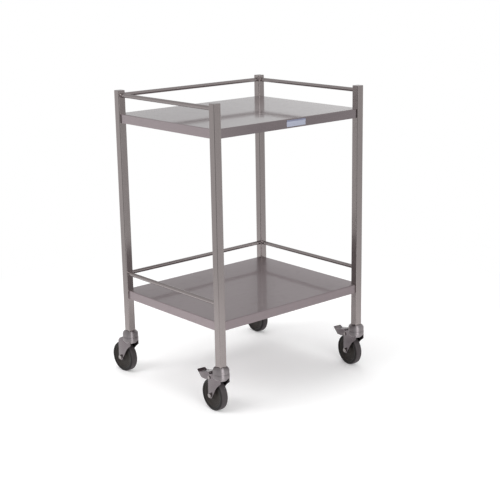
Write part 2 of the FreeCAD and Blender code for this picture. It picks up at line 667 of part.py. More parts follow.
def make_axle(corner, side_x, side_y):
    """Axle bolt, its nut, and the sleeve clamped between the legs for the wheel to turn on."""
    leg_face = "({fork_gap} / 2 + {fork_sheet})"

    bolt = new_body(f"axle_bolt_{corner}")
    head = new_sketch(bolt, f"bolt_head_{corner}", "XY_Plane", f"-{leg_face}")
    hexagon(head, "{hex_flats}")
    block = pad(bolt, head, "{bolt_head_depth}", backwards=True)
    far_face = -measure(head, f"{leg_face} + {{bolt_head_depth}}")
    bevel_edges(bolt, block, f"bolt_bevel_{corner}", "{hex_round}", lambda p: close(p.z, far_face))
    shank = new_sketch(bolt, f"shank_{corner}", "XY_Plane", f"-{leg_face}")
    circle(shank, "{axle_diameter}")
    pad(bolt, shank, f"2 * {leg_face} + {{nut_depth}} + {{thread_reach}}")
    axle_place(bolt, corner, side_x, side_y)

    nut = new_body(f"axle_nut_{corner}")
    face = new_sketch(nut, f"nut_{corner}", "XY_Plane", leg_face)
    hexagon(face, "{hex_flats}")
    block = pad(nut, face, "{nut_depth}")
    far_face = measure(face, f"{leg_face} + {{nut_depth}}")
    bevel_edges(nut, block, f"nut_bevel_{corner}", "{hex_round}", lambda p: close(p.z, far_face))
    hole = new_sketch(nut, f"nut_hole_{corner}", "XY_Plane", leg_face)
    circle(hole, "{axle_diameter} + 2 * {seat_gap}")
    pocket(nut, hole, "{nut_depth}", backwards=True)
    axle_place(nut, corner, side_x, side_y)

    sleeve = new_body(f"axle_sleeve_{corner}")
    ring = new_sketch(sleeve, f"sleeve_{corner}", "XY_Plane")
    circle(ring, "{sleeve_diameter}")
    circle(ring, "{axle_diameter} + 2 * {seat_gap}")
    pad(sleeve, ring, "{fork_gap}", both_ways=True)
    axle_place(sleeve, corner, side_x, side_y)


def make_wheel(corner, side_x, side_y):
    """Moulded wheel centre with its keyed rim, and the rubber tyre round it."""
    rim = "({wheel_diameter} / 2 - {tyre_depth})"
    rim_in = f"({rim} - {{rim_thickness}})"
    half_rim = "({tread_width} / 2 - {rim_inset})"
    key, half_key = f"({rim} + {{rim_key}})", "({rim_key_width} / 2)"
    hub, half_hub = "({hub_diameter} / 2)", "({hub_length} / 2)"
    half_web = "({web_thickness} / 2)"
    bore = "({sleeve_diameter} / 2 + {seat_gap})"

    centre = new_body(f"wheel_centre_{corner}")
    section = new_sketch(centre, f"centre_{corner}", "XZ_Plane")
    outline(section, [
        (bore, f"-{half_hub}"), (hub, f"-{half_hub}"), (f"{hub} + {{hub_draft}}", f"-{half_web}"),
        (f"{rim_in} - {{hub_draft}}", f"-{half_web}"), (rim_in, f"-{half_rim}"),
        (rim, f"-{half_rim}"), (rim, f"-{half_key}"), (key, f"-{half_key}"), (key, half_key),
        (rim, half_key), (rim, half_rim), (rim_in, half_rim),
        (f"{rim_in} - {{hub_draft}}", half_web), (f"{hub} + {{hub_draft}}", half_web),
        (hub, half_hub), (bore, half_hub),
    ])
    revolve(centre, section)
    axle_place(centre, corner, side_x, side_y)

    tyre = new_body(f"tyre_{corner}")
    section = new_sketch(tyre, f"tread_{corner}", "XZ_Plane")
    outer, half = "({wheel_diameter} / 2)", "({tread_width} / 2)"
    inner, groove = f"({rim} + {{seat_gap}})", f"({key} + {{seat_gap}})"
    lip = f"({half_key} + {{seat_gap}})"
    shoulder = f"{outer} - {{tread_round}}"
    outline(section, [
        (inner, f"-{half}"),
        *bevels(shoulder, f"-{half} + {{tread_round}}", "{tread_round}", -90),
        *bevels(shoulder, f"{half} - {{tread_round}}", "{tread_round}", 0),
        (inner, half), (inner, lip), (groove, lip), (groove, f"-{lip}"), (inner, f"-{lip}"),
    ])
    revolve(tyre, section)
    axle_place(tyre, corner, side_x, side_y)


def plate_line(reach, lowered):
    """Height of the pedal's sloping plate at a reach, less a drop below its top face."""
    slope = "({pedal_root_level} - {pedal_knee_level}) / ({pedal_knee_reach} - {pedal_root_reach})"
    return f"({{pedal_root_level}} - ({reach} - {{pedal_root_reach}}) * {slope} - ({lowered}))"


def make_brake(corner, side_x, side_y):
    """Toe brake: pressed pedal with side skirts, the pin it turns on and the shoe under it."""
    pivot = ("{pedal_pivot_reach}", "{pedal_pivot_level}")
    ear_top = "({pedal_pivot_level} + {pedal_ear})"
    ear_foot = "({pedal_pivot_level} - {pedal_ear})"
    gauge = "{pedal_sheet}"

    pedal = new_body(f"brake_pedal_{corner}")
    side = new_sketch(pedal, f"pedal_side_{corner}", "YZ_Plane")
    outline(side, [
        ("{pedal_pivot_reach}", ear_top), ("{pedal_root_reach} - 2 * " + gauge, plate_line("{pedal_root_reach}", gauge)),
        ("{pedal_root_reach}", "{pedal_root_level}"), ("{pedal_knee_reach}", "{pedal_knee_level}"),
        ("{pedal_dip_reach}", "{pedal_dip_level}"), ("{pedal_tip_reach}", "{pedal_tip_level}"),
        ("{pedal_tip_reach}", "{pedal_tip_level} - " + gauge),
        ("{pedal_dip_reach}", "{pedal_dip_level} - 4 * " + gauge),
        ("{skirt_rear}", "{skirt_level}"), ("{skirt_front}", "{skirt_level}"),
        ("{pedal_pivot_reach}", ear_foot),
    ])
    channel = pad(pedal, side, "{pedal_width}", both_ways=True)
    tip, half = size("pedal_tip_reach"), size("pedal_width") / 2
    round_edges(
        pedal, channel, f"toe_{corner}", "{pedal_tip_round}",
        lambda p: close(p.y, tip) and close(abs(p.x), half),
    )
    ears = new_sketch(pedal, f"ears_{corner}", "YZ_Plane")
    circle(ears, "2 * {pedal_ear}", *pivot)
    pad(pedal, ears, "{pedal_width}", both_ways=True)
    under = new_sketch(pedal, f"pedal_under_{corner}", "YZ_Plane")
    beyond = "({pedal_tip_reach} + {pedal_ear})"
    before = "({pedal_pivot_reach} - 2 * {pedal_ear})"
    outline(under, [
        (before, "{pedal_root_level} + {pedal_ear}"),
        ("{pedal_root_reach} - " + gauge, "{pedal_root_level} + {pedal_ear}"),
        ("{pedal_root_reach} - " + gauge, plate_line("{pedal_root_reach}", gauge)),
        ("{pedal_root_reach}", plate_line("{pedal_root_reach}", gauge)),
        ("{pedal_knee_reach}", "{pedal_knee_level} - " + gauge),
        ("{pedal_dip_reach}", "{pedal_dip_level} - " + gauge),
        ("{pedal_tip_reach}", "{pedal_tip_level} - " + gauge),
        (beyond, "{pedal_tip_level} - " + gauge), (beyond, "{skirt_level} - {pedal_ear}"),
        (before, "{skirt_level} - {pedal_ear}"),
    ])
    pocket(pedal, under, "{pedal_width} - 2 * " + gauge, both_ways=True)
    holes = new_sketch(pedal, f"ear_holes_{corner}", "YZ_Plane")
    circle(holes, "{brake_pin_diameter} + 2 * {seat_gap}", *pivot)
    pocket(pedal, holes, "{pedal_width} + " + gauge, both_ways=True)
    castor_place(pedal, corner, side_x, side_y)

    pin = new_body(f"brake_pin_{corner}")
    shank = new_sketch(pin, f"pin_{corner}", "YZ_Plane")
    circle(shank, "{brake_pin_diameter}", *pivot)
    pad(pin, shank, "{fork_gap} + 2 * {fork_sheet}", both_ways=True)
    for name, sign, backwards in (("near", "-1", True), ("far", "1", False)):
        face = f"{sign} * ({{fork_gap}} / 2 + {{fork_sheet}})"
        head = new_sketch(pin, f"pin_head_{name}_{corner}", "YZ_Plane", face)
        circle(head, "{pin_head_diameter}", *pivot)
        pad(pin, head, "{pin_head_depth}", backwards=backwards)
    castor_place(pin, corner, side_x, side_y)

    shoe = new_body(f"brake_shoe_{corner}")
    block = new_sketch(shoe, f"shoe_{corner}", "YZ_Plane")
    outline(block, [
        ("{shoe_front}", plate_line("{shoe_front}", gauge)),
        ("{pedal_knee_reach}", "{pedal_knee_level} - " + gauge),
        ("{pedal_knee_reach}", "{skirt_level}"), ("{shoe_front}", "{skirt_level}"),
    ])
    pad(shoe, block, "{shoe_width}", both_ways=True)
    press = "{brake_travel} * 1 deg"
    back, down = "({pedal_pivot_reach} - {trail})", "({pedal_pivot_level} - {wheel_diameter} / 2)"
    centre_y = f"{{pedal_pivot_reach}} - {back} * cos({press}) + {down} * sin({press})"
    centre_z = f"{{pedal_pivot_level}} - {back} * sin({press}) - {down} * cos({press})"
    grip = new_sketch(shoe, f"grip_{corner}", "YZ_Plane")
    circle(grip, "{wheel_diameter} + 2 * {shoe_gap}", centre_y, centre_z)
    pocket(shoe, grip, "2 * {shoe_width}", both_ways=True)
    castor_place(shoe, corner, side_x, side_y)


caps, sockets = [], []
for corner, side_x, side_y, braked in CORNERS:
    make_post(corner, side_x, side_y)
    caps.append(make_cap(corner, side_x, side_y))
    sockets.append(make_socket(corner, side_x, side_y))
    make_stem(corner, side_x, side_y)
    make_head(corner, side_x, side_y)
    make_bearing(corner, side_x, side_y)
    make_fork(corner, side_x, side_y, braked)
    make_axle(corner, side_x, side_y)
    make_wheel(corner, side_x, side_y)
    if braked:
        make_brake(corner, side_x, side_y)
combined("post_caps", caps)
combined("castor_sockets", sockets)

for tier in ("top", "lower"):
    surface = f"{{{tier}_shelf_level}}"
    half_inside = make_shelf(f"{tier}_shelf", surface)
    make_channel(f"{tier}_shelf_channel", surface, half_inside)
    rail_level = f"{surface} + {{{tier}_rail_rise}}"
    make_rail(f"{tier}_rail_back", rail_level, "x", 1)
    make_rail(f"{tier}_rail_left", rail_level, "y", -1)
    make_rail(f"{tier}_rail_right", rail_level, "y", 1)

doc.recompute()
for item in doc.Objects:
    if "Invalid" in item.State or "Error" in item.State:
        raise ValueError(f"{item.Name} is {item.State}")
for part in sub_parts:
    if part.Shape.isNull() or not part.Shape.isValid() or not part.Shape.Solids:
        raise ValueError(f"{part.Label} has no sound shape")
for part in sub_parts:
    part.Shape.exportStep(f"parts/{part.Label}.step")
    print(part.Label, len(part.Shape.Solids), round(part.Shape.Volume, 1))
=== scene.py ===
"""Studio scene of a two-shelf stainless steel instrument trolley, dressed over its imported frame.

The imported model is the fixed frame, in metres: X along the long side, Y from the open front to
the back, Z up from the floor. Posts, shelves and rails keep their solids and get ground steel.
The castors' domes, yokes, wheels and toe levers are replaced by finer pieces. The classes of the
trolley hold their sizes in millimetres, and those of the studio in metres.
"""

from __future__ import annotations

import json
import logging
import math
from dataclasses import dataclass
from enum import Enum
from typing import Any, Mapping, Sequence, Union

import bmesh
import bpy
from mathutils import Matrix, Vector

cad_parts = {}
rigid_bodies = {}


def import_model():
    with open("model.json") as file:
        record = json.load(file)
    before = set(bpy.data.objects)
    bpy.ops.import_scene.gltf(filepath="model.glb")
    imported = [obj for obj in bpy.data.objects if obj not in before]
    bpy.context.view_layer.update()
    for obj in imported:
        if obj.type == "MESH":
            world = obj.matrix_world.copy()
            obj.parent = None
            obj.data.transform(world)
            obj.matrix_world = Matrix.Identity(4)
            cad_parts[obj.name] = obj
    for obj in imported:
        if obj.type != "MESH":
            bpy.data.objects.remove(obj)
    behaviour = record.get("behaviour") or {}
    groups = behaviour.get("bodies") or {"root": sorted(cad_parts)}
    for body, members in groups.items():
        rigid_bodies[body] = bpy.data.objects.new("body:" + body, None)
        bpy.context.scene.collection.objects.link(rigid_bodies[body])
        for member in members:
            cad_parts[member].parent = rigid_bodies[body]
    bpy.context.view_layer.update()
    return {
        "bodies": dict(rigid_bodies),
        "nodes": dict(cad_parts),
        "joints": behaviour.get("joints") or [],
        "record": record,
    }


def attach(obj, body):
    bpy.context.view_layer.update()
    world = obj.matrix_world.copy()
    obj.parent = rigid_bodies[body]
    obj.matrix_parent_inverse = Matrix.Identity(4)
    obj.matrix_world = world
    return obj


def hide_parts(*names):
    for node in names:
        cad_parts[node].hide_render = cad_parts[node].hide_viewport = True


LOG = logging.getLogger("trolley")

Point2 = tuple[float, float]
Colour = tuple[float, float, float]
Stops = tuple[tuple[float, float], ...]
Value = Union["Signal", float]

MM = 0.001
ROOT_BODY = "trolley_frame"

# Middles of the posts, in millimetres from the middle of their square, and how far that square
# stands in front of the origin, in metres.
POST_X = 287.5
POST_Y = 232.5
POSTS_FORWARD = 0.0285

# Points closer than this are one point, in metres.
WELD_DISTANCE = 1e-6

# Edges of a plate that turn by more than this many radians are softened.
RIM_ANGLE = 0.6

# The fine pores of rubber and plastic: cycles per metre, depth in metres and strength.
PORE_SCALE = 900.0
PORE_DEPTH = 0.00003
PORE_STRENGTH = 0.5

BLACK: Colour = (0.0, 0.0, 0.0)
WHITE: Colour = (1.0, 1.0, 1.0)


# Shader maths


@dataclass(frozen=True)
class Signal:
    """A number or a vector that flows out of a node, with arithmetic that adds its own nodes."""

    graph: "Graph"
    socket: bpy.types.NodeSocket

    def _math(self, operation: str, first: Value, second: Value | None = None) -> "Signal":
        """Add one Math node.

        Args:
            operation: The node's operation.
            first: What goes into its first socket.
            second: What goes into its second socket, if it has one.

        Returns:
            The node's result.
        """
        inputs: dict[int, Value] = {0: first}
        if second is not None:
            inputs[1] = second
        return self.graph.node("ShaderNodeMath", {"operation": operation}, inputs)

    def __add__(self, other: Value) -> "Signal":
        """Sum."""
        return self._math("ADD", self, other)

    def __radd__(self, other: Value) -> "Signal":
        """Sum with a number on the left."""
        return self._math("ADD", other, self)

    def __sub__(self, other: Value) -> "Signal":
        """Difference."""
        return self._math("SUBTRACT", self, other)

    def __rsub__(self, other: Value) -> "Signal":
        """Difference from a number on the left."""
        return self._math("SUBTRACT", other, self)

    def __mul__(self, other: Value) -> "Signal":
        """Product."""
        return self._math("MULTIPLY", self, other)

    def __rmul__(self, other: Value) -> "Signal":
        """Product with a number on the left."""
        return self._math("MULTIPLY", other, self)

    def __truediv__(self, other: Value) -> "Signal":
        """Quotient."""
        return self._math("DIVIDE", self, other)

    def __rtruediv__(self, other: Value) -> "Signal":
        """Quotient with a number on the left."""
        return self._math("DIVIDE", other, self)

    def at_most(self, other: Value) -> "Signal":
        """The smaller of the two."""
        return self._math("MINIMUM", self, other)

    def at_least(self, other: Value) -> "Signal":
        """The larger of the two."""
        return self._math("MAXIMUM", self, other)

    def clamped(self) -> "Signal":
        """Held between 0 and 1."""
        return self.at_least(0.0).at_most(1.0)

    def above(self, other: Value) -> "Signal":
        """1 where this is the larger, and 0 elsewhere."""
        return self._math("GREATER_THAN", self, other)

    def angle_with(self, other: "Signal") -> "Signal":
        """Angle of the point (other, self) round the origin, in radians."""
        return self._math("ARCTAN2", self, other)


class Graph:
    """A node tree and the one way that nodes are added to it.

    The MIX numbers are the colour sockets of a Mix node.
    """

    MIX_FIRST = 6
    MIX_SECOND = 7
    MIX_RESULT = 2

    def __init__(self, tree: bpy.types.NodeTree) -> None:
        """Take over an empty tree.

        Args:
            tree: The node tree of a material or a world.
        """
        self.tree = tree
        self.tree.nodes.clear()

    def node(
        self,
        kind: str,
        settings: Mapping[str, Any] | None = None,
        inputs: Mapping[int | str, Any] | None = None,
        output: int | str = 0,
    ) -> Signal:
        """Add a node, set it up, then fill its sockets.

        Args:
            kind: The node's type name.
            settings: Its properties; "stops" holds a ramp's (position, grey level) pairs.
            inputs: Values or signals by socket name or index.
            output: The socket whose signal is wanted.

        Returns:
            The wanted output.
        """
        made = self.tree.nodes.new(kind)
        for name, value in (settings or {}).items():
            if name == "stops":
                self._set_stops(made.color_ramp, value)
            else:
                setattr(made, name, value)
        for key, value in (inputs or {}).items():
            if isinstance(value, Signal):
                self.tree.links.new(value.socket, made.inputs[key])
            else:
                made.inputs[key].default_value = value
        if not made.outputs:
            return Signal(self, made.inputs[0])
        return Signal(self, made.outputs[output])

    @staticmethod
    def _set_stops(ramp: bpy.types.ColorRamp, stops: Sequence[tuple[float, float]]) -> None:
        """Give a ramp its grey stops.

        Args:
            ramp: The ramp to fill.
            stops: Positions and grey levels, in order.
        """
        while len(ramp.elements) < len(stops):
            ramp.elements.new(0.5)
        for element, (position, level) in zip(ramp.elements, stops):
            element.position = position
            element.color = (level, level, level, 1.0)

    def noise(self, where: Signal, scale: float, detail: float = 3.0) -> Signal:
        """Cloudy noise between 0 and 1 at a scale in cycles per metre."""
        inputs = {"Vector": where, "Scale": scale, "Detail": detail}
        return self.node("ShaderNodeTexNoise", None, inputs)

    def place(self, stretch: Sequence[float] = (1.0, 1.0, 1.0)) -> Signal:
        """Object coordinates in metres, stretched along each axis."""
        spot = self.node("ShaderNodeTexCoord", None, None, "Object")
        return self.node("ShaderNodeVectorMath", {"operation": "MULTIPLY"}, {0: spot, 1: tuple(stretch)})

    def blend(self, factor: Value, first: Colour, second: Colour) -> Signal:
        """Mix two colours by a factor."""
        inputs = {"Factor": factor, self.MIX_FIRST: (*first, 1.0), self.MIX_SECOND: (*second, 1.0)}
        return self.node("ShaderNodeMix", {"data_type": "RGBA"}, inputs, self.MIX_RESULT)

    def facing_front(self) -> Signal:
        """1 on faces that look to the open front, and 0 on those that lie flat or look to a side.

        Returns:
            The mask.
        """
        normal = self.node("ShaderNodeTexCoord", None, None, "Normal")
        to_the_back = self.node("ShaderNodeSeparateXYZ", None, {0: normal}, "Y")
        return (to_the_back * -1.0).at_least(0.0)

    def seen(self) -> Signal:
        """1 where the camera, a mirror or clear glass looks, and 0 where light only bounces.

        Returns:
            The mask.
        """
        rays = ("Is Camera Ray", "Is Glossy Ray", "Is Transmission Ray")
        camera, glossy, clear = [self.node("ShaderNodeLightPath", None, None, ray) for ray in rays]
        return (camera + glossy + clear).at_most(1.0)

    def bump(self, height: Signal, strength: float, distance: float) -> Signal:
        """Normal of a surface raised by a height map."""
        inputs = {"Height": height, "Strength": strength, "Distance": distance}
        return self.node("ShaderNodeBump", None, inputs)

    def surface(self, inputs: Mapping[int | str, Any]) -> None:
        """Close the graph with a Principled surface."""
        shader = self.node("ShaderNodeBsdfPrincipled", None, inputs)
        self.node("ShaderNodeOutputMaterial", None, {"Surface": shader})


def new_graph(name: str) -> tuple[bpy.types.Material, Graph]:
    """Open a new material.

    Args:
        name: The material's name.

    Returns:
        The material and its empty graph.
    """
    material = bpy.data.materials.new(name)
    material.use_nodes = True
    return material, Graph(material.node_tree)


def shade(colour: Colour, factor: float) -> Colour:
    """A colour made lighter or darker by a factor."""
    return (colour[0] * factor, colour[1] * factor, colour[2] * factor)


# Finishes


class Grain(Enum):
    """Which way the grinding marks run, as a stretch of their noise along each axis."""

    ALONG_X = (1.0, 60.0, 60.0)
    ALONG_Y = (60.0, 1.0, 60.0)
    UPRIGHT = (60.0, 60.0, 1.0)


@dataclass(frozen=True)
class GroundSteel:
    """Stainless steel ground with a fine belt, with faint smears and uneven gloss.

    A sheet's front edge can be given painted shade, a darker tone than the rest of it, and more gloss.
    """

    name: str
    colour: Colour
    roughness: float
    grain: Grain
    grain_depth: float = 0.000012
    grain_strength: float = 0.5
    unevenness: float = 0.1
    smear: float = 0.06
    handling: float = 0.04
    gloss_film: float = 0.0
    film_roughness: float = 0.07
    front_painted_shade: float = 1.0
    front_gloss: float = 0.0
    fine_scale: float = 30.0
    fine_share: float = 0.45
    fine_relief: float = 0.6
    broad_scale: float = 5.0
    broad_share: float = 0.35
    broad_relief: float = 0.4
    cloud_scale: float = 5.0
    cloud_share: float = 0.2
    print_scale: float = 38.0
    print_onset: float = 0.55
    print_contrast: float = 6.0
    darkest: float = 0.695
    lightest: float = 1.18
    smoothest: float = 0.04

    def build(self) -> bpy.types.Material:
        """Make the material.

        Returns:
            The finished material.
        """
        material, graph = new_graph(self.name)
        place = graph.place()
        fine = graph.noise(graph.place(self.grain.value), self.fine_scale)
        broad = graph.noise(graph.place(self.grain.value), self.broad_scale)
        clouds = graph.noise(place, self.cloud_scale)
        prints = graph.noise(place, self.print_scale, 2.0)
        marks = fine * self.fine_share + broad * self.broad_share + clouds * self.cloud_share
        relief = fine * self.fine_relief + broad * self.broad_relief
        handled = ((prints - self.print_onset) * self.print_contrast).clamped()
        gloss = (fine - 0.5) * self.unevenness + (clouds - 0.5) * self.smear
        gloss = gloss + handled * self.handling + self.roughness
        tone = marks * (1.0 - self.darkest) + self.darkest
        # Painted shade: faces that look to the open front get a darker base colour than the rest of the
        # sheet.
        if self.front_painted_shade < 1.0:
            front = graph.facing_front()
            tone = tone * (1.0 - front * (1.0 - self.front_painted_shade))
            gloss = gloss - front * self.front_gloss
        graph.surface({
            "Base Color": graph.blend(tone, BLACK, shade(self.colour, self.lightest)),
            "Metallic": 1.0,
            "Roughness": gloss.at_least(self.smoothest),
            "Normal": graph.bump(relief, self.grain_strength, self.grain_depth),
            "Coat Weight": self.gloss_film,
            "Coat Roughness": self.film_roughness,
        })
        return material


@dataclass(frozen=True)
class PlatedSteel:
    """Bright plate over pressed steel, with an orange-peel ripple and a milky bloom.

    Turned pieces stretch what they mirror along their axis.
    """

    name: str
    colour: Colour
    roughness: float
    ripple: float = 0.00002
    ripple_strength: float = 0.3
    stretch: float = 0.0
    stretch_turn: float = 0.25
    peel_scale: float = 420.0
    bloom_scale: float = 60.0
    bloom_haze: float = 0.12
    darkest: float = 0.9
    lightest: float = 1.06

    def build(self) -> bpy.types.Material:
        """Make the material.

        Returns:
            The finished material.
        """
        material, graph = new_graph(self.name)
        place = graph.place()
        peel = graph.noise(place, self.peel_scale, 2.0)
        bloom = graph.noise(place, self.bloom_scale, 4.0)
        dark, light = shade(self.colour, self.darkest), shade(self.colour, self.lightest)
        graph.surface({
            "Base Color": graph.blend(bloom, dark, light),
            "Metallic": 1.0,
            "Roughness": (bloom - 0.5) * self.bloom_haze + self.roughness,
            "Normal": graph.bump(peel, self.ripple_strength, self.ripple),
            "Anisotropic": self.stretch,
            "Anisotropic Rotation": self.stretch_turn,
        })
        return material


@dataclass(frozen=True)
class Moulded:
    """Moulded rubber or plastic with a fine skin, dust in patches and a soft sheen."""

    name: str
    colour: Colour
    dust: Colour
    roughness: float
    dustiness: float = 0.5
    dust_scale: float = 45.0
    dust_onset: float = 0.45
    dust_contrast: float = 2.5
    dust_haze: float = 0.18
    pore_haze: float = 0.05
    sheen: float = 0.25

    def build(self) -> bpy.types.Material:
        """Make the material.

        Returns:
            The finished material.
        """
        material, graph = new_graph(self.name)
        place = graph.place()
        patches = graph.noise(place, self.dust_scale, 4.0)
        pores = graph.noise(place, PORE_SCALE, 2.0)
        dusty = ((patches - self.dust_onset) * self.dust_contrast).clamped()
        graph.surface({
            "Base Color": graph.blend(dusty * self.dustiness, self.colour, self.dust),
            "Roughness": dusty * self.dust_haze + pores * self.pore_haze + self.roughness,
            "Specular IOR Level": self.sheen,
            "Normal": graph.bump(pores, PORE_STRENGTH, PORE_DEPTH),
        })
        return material


@dataclass(frozen=True)
class RolledRubber:
    """Black tyre rubber whose tread has gone grey from rolling on hard floors."""

    name: str
    wall: Colour
    tread: Colour
    roughness: float
    sheen: float = 0.22
    patch_scale: float = 60.0
    patch_wear: float = 0.9
    least_wear: float = 0.55
    patch_tone: float = 0.08
    patch_haze: float = 0.1
    worn_haze: float = 0.12

    def build(self) -> bpy.types.Material:
        """Make the material.

        Returns:
            The finished material.
        """
        material, graph = new_graph(self.name)
        place = graph.place()
        patches = graph.noise(place, self.patch_scale, 4.0)
        pores = graph.noise(place, PORE_SCALE, 2.0)
        worn = graph.node("ShaderNodeAttribute", {"attribute_name": "worn"}, None, "Fac")
        grey = (worn * (patches * self.patch_wear + self.least_wear)).at_most(1.0)
        graph.surface({
            "Base Color": graph.blend(grey + patches * self.patch_tone, self.wall, self.tread),
            "Roughness": worn * self.worn_haze + patches * self.patch_haze + self.roughness,
            "Specular IOR Level": self.sheen,
            "Normal": graph.bump(pores, PORE_STRENGTH, PORE_DEPTH),
        })
        return material


@dataclass(frozen=True)
class BarePlate:
    """A blank two-tone plate: a darker strip above a seam, over a paler ground."""

    name: str
    strip: Colour
    ground: Colour
    seam: float
    fade_scale: float = 90.0
    fade_haze: float = 0.15
    roughness: float = 0.3
    ripple: float = 0.00003
    ripple_strength: float = 0.2

    def build(self) -> bpy.types.Material:
        """Make the material.

        Returns:
            The finished material.
        """
        material, graph = new_graph(self.name)
        place = graph.place()
        height = graph.node("ShaderNodeSeparateXYZ", None, {0: place}, "Z")
        fade = graph.noise(place, self.fade_scale, 2.0)
        graph.surface({
            "Base Color": graph.blend(height.above(self.seam), self.ground, self.strip),
            "Roughness": fade * self.fade_haze + self.roughness,
            "Normal": graph.bump(fade, self.ripple_strength, self.ripple),
        })
        return material


@dataclass(frozen=True)
class FloorFinish:
    """Pale floor that keeps the shadow and runs out into the white of the room."""

    name: str = "studio_floor"
    colour: Colour = (0.9, 0.9, 0.9)
    lift: float = 0.19
    inner: float = 0.75
    outer: float = 1.55
    cloud_scale: float = 3.0
    cloud_haze: float = 0.1
    roughness: float = 0.8

    def build(self) -> bpy.types.Material:
        """Make the material.

        Returns:
            The finished material.
        """
        material, graph = new_graph(self.name)
        place = graph.place()
        away = graph.node("ShaderNodeVectorMath", {"operation": "LENGTH"}, {0: place}, "Value")
        inputs = {0: away, 1: self.inner, 2: self.outer}
        rim = graph.node("ShaderNodeMapRange", {"interpolation_type": "SMOOTHSTEP"}, inputs)
        glow = graph.seen() * (rim * (1.0 - self.lift) + self.lift)
        graph.surface({
            "Base Color": graph.blend(rim, self.colour, BLACK),
            "Roughness": graph.noise(place, self.cloud_scale, 2.0) * self.cloud_haze + self.roughness,
            "Specular IOR Level": 0.0,
            "Emission Color": graph.blend(glow, BLACK, WHITE),
            "Emission Strength": 1.0,
        })
        return material


# Mesh tools


def as_object(name: str, mesh: bmesh.types.BMesh, sharp: float = 32.0) -> bpy.types.Object:
    """Turn a working mesh into an object of the scene.

    Args:
        name: The piece's name.
        mesh: The working mesh, which is freed.
        sharp: Angle in degrees above which an edge stays sharp.

    Returns:
        The new object.
    """
    bmesh.ops.recalc_face_normals(mesh, faces=mesh.faces)
    data = bpy.data.meshes.new(name)
    mesh.to_mesh(data)
    mesh.free()
    data.polygons.foreach_set("use_smooth", [True] * len(data.polygons))
    data.set_sharp_from_angle(angle=math.radians(sharp))
    made = bpy.data.objects.new(name, data)
    bpy.context.scene.collection.objects.link(made)
    return made


def turned(mesh: bmesh.types.BMesh, profile: Sequence[Point2], place: Matrix, steps: int = 72) -> None:
    """Turn a closed profile of (radius, height) points about the Z axis of a place.

    Args:
        mesh: The working mesh to add to.
        profile: The closed section; a radius of 0 closes on the axis.
        place: Where the axis stands.
        steps: How many sides the turning has.
    """
    rings: list[list[bmesh.types.BMVert]] = []
    for step in range(steps):
        angle = 2.0 * math.pi * step / steps
        ring = []
        for radius, height in profile:
            spot = Vector((radius * math.cos(angle), radius * math.sin(angle), height))
            ring.append(mesh.verts.new(place @ (spot * MM)))
        rings.append(ring)
    count = len(profile)
    for step in range(steps):
        this, following = rings[step], rings[(step + 1) % steps]
        for index in range(count):
            after = (index + 1) % count
            mesh.faces.new((this[index], following[index], following[after], this[after]))
    bmesh.ops.remove_doubles(mesh, verts=mesh.verts, dist=WELD_DISTANCE)


def plate(
    mesh: bmesh.types.BMesh,
    outline: Sequence[Point2],
    near: float,
    far: float,
    place: Matrix,
    edge: float = 0.5,
) -> None:
    """Extrude an outline in (Y, Z) along X and soften its edges.

    Args:
        mesh: The working mesh to add to.
        outline: The plate's outline, in order.
        near: Its first face along X.
        far: Its second face along X.
        place: Where the plate's frame stands.
        edge: Width of the softened edges.
    """
    part = bmesh.new()
    first = [part.verts.new((near, y, z)) for y, z in outline]
    second = [part.verts.new((far, y, z)) for y, z in outline]
    part.faces.new(first)
    part.faces.new(list(reversed(second)))
    count = len(outline)
    for index in range(count):
        after = (index + 1) % count
        part.faces.new((first[index], first[after], second[after], second[index]))
    bmesh.ops.recalc_face_normals(part, faces=part.faces)
    if edge > 0.0:
        inner = [item for item in part.edges if len(item.link_faces) == 2]
        rims = [item for item in inner if item.calc_face_angle() > RIM_ANGLE]
        bmesh.ops.bevel(
            part, geom=rims, offset=edge, segments=2, profile=0.5, affect="EDGES", clamp_overlap=True
        )
    for vertex in part.verts:
        vertex.co = place @ (vertex.co * MM)
    copy = bpy.data.meshes.new("plate")
    part.to_mesh(copy)
    part.free()
    mesh.from_mesh(copy)
    bpy.data.meshes.remove(copy)


def arc(centre: Point2, radius: float, start: float, end: float, steps: int = 6) -> list[Point2]:
    """Points along an arc.

    Args:
        centre: The arc's centre.
        radius: Its radius.
        start: First angle in degrees.
        end: Last angle in degrees.
        steps: How many pieces it is cut into.

    Returns:
        The points, both ends among them.
    """
    turns = [math.radians(start + (end - start) * step / steps) for step in range(steps + 1)]
    return [(centre[0] + radius * math.cos(t), centre[1] + radius * math.sin(t)) for t in turns]


def wear_finish(names: Sequence[str], frame: Mapping[str, Any], material: bpy.types.Material) -> None:
    """Dress nodes of the frame in a material.

    Args:
        names: The nodes' names.
        material: The finish they get.
    """
    for name in names:
        node = frame["nodes"][name]
        node.data.materials.clear()
        node.data.materials.append(material)
        LOG.info("node %s wears %s", name, material.name)


# The trolley


@dataclass
class Corner:
    """One corner of the trolley and the turn of the castor that stands there."""

    name: str
    side_x: int
    side_y: int
    swing: float
    braked: bool

    def castor(self) -> Matrix:
        """Frame of the castor: swivel axis up Z from the floor, wheel trailing along Y."""
        spot = Vector((self.side_x * POST_X * MM, self.side_y * POST_Y * MM - POSTS_FORWARD, 0.0))
        return Matrix.Translation(spot) @ Matrix.Rotation(math.radians(-self.swing), 4, "Z")


CORNERS = (
    Corner("front_left", -1, -1, 2.0, True),
    Corner("front_right", 1, -1, 7.0, True),
    Corner("back_left", -1, 1, -4.0, False),
    Corner("back_right", 1, 1, 2.0, False),
)


